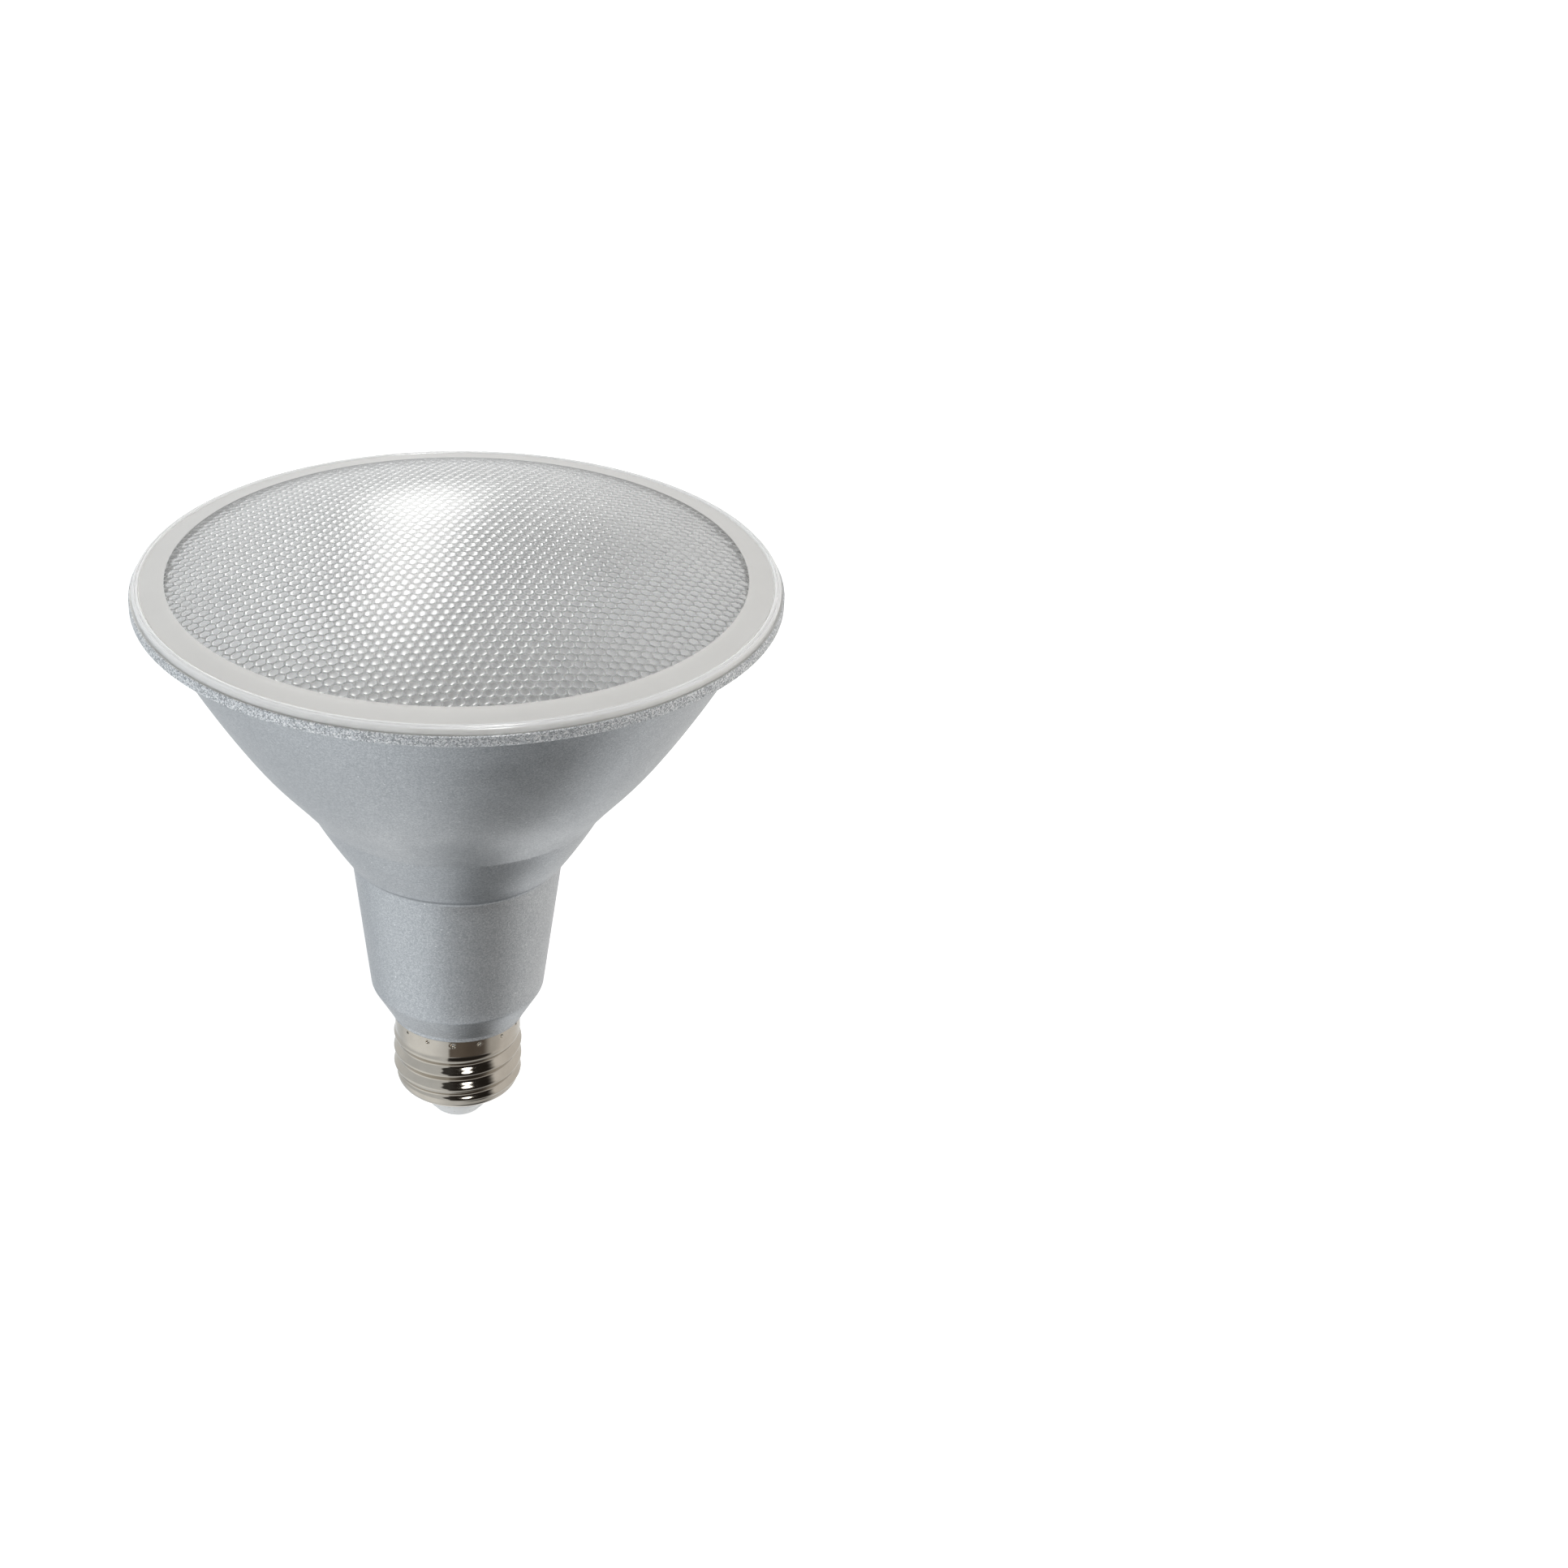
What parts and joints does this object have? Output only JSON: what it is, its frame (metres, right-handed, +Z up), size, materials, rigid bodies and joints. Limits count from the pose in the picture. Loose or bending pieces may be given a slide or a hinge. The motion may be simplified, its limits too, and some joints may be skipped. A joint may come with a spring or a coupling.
{
  "type": "led reflector bulb",
  "caption": "Large-reflector lamp: silver flared housing, clear domed lens with hexagon micro-lenses, and a medium screw base.",
  "frame": {"origin": "centre of the flat end face of the centre contact", "axes": "+Z up the lamp's axis to the lens, -Y towards the picture's viewer"},
  "size_m": [0.1226, 0.1226, 0.1302],
  "materials": {
    "lens_clear": "clear, smooth outside, hexagon micro-lenses inside",
    "seal_silicone": "matt silicone",
    "housing_silver": "satin silver paint with fine metallic flake on moulded shell",
    "shell_nickel": "polished nickel plate",
    "insulator_grey": "smooth light grey",
    "contact_metal": "nickel-plated rivet",
    "reflector_metal": "vacuum-metallised",
    "emitter": "phosphor dome on ceramic base",
    "board_white": "white solder mask on aluminium",
    "connector_white": "moulded",
    "screw_steel": "zinc plated",
    "pad_grey": "soft pad",
    "sink_aluminium": "drawn, satin",
    "sleeve_white": "moulded",
    "pcb_green": "solder mask",
    "can_black": "sleeved aluminium can",
    "film_red": "dipped box",
    "ferrite": "sintered",
    "bobbin_black": "moulded",
    "tape_yellow": "wrapped tape",
    "choke_sleeve": "shrink sleeve",
    "varistor_blue": "dipped disc",
    "fuse_sleeve": "shrink sleeve",
    "epoxy_black": "moulded package",
    "wire_red": "insulated wire",
    "wire_black": "insulated wire",
    "wire_white": "insulated wire"
  },
  "bodies": {
    "root": {"lens": "lens_clear", "lens_gasket": "seal_silicone", "housing": "housing_silver", "screw_shell": "shell_nickel", "base_insulator": "insulator_grey", "centre_contact": "contact_metal", "reflector": "reflector_metal", "led_packages": "emitter", "led_board": "board_white", "board_connector": "connector_white", "board_screws": "screw_steel", "thermal_pad": "pad_grey", "heat_sink": "sink_aluminium", "driver_sleeve": "sleeve_white", "driver_board": "pcb_green", "input_capacitor": "can_black", "output_capacitor": "can_black", "film_capacitor": "film_red", "transformer_core": "ferrite", "transformer_bobbin": "bobbin_black", "transformer_winding": "tape_yellow", "filter_choke": "choke_sleeve", "bridge_rectifier": "epoxy_black", "driver_chip": "epoxy_black", "switching_transistor": "epoxy_black", "fusible_resistor": "fuse_sleeve", "varistor": "varistor_blue", "live_lead": "wire_black", "neutral_lead": "wire_white", "output_lead_red": "wire_red", "output_lead_black": "wire_black"}
  },
  "joints": []
}
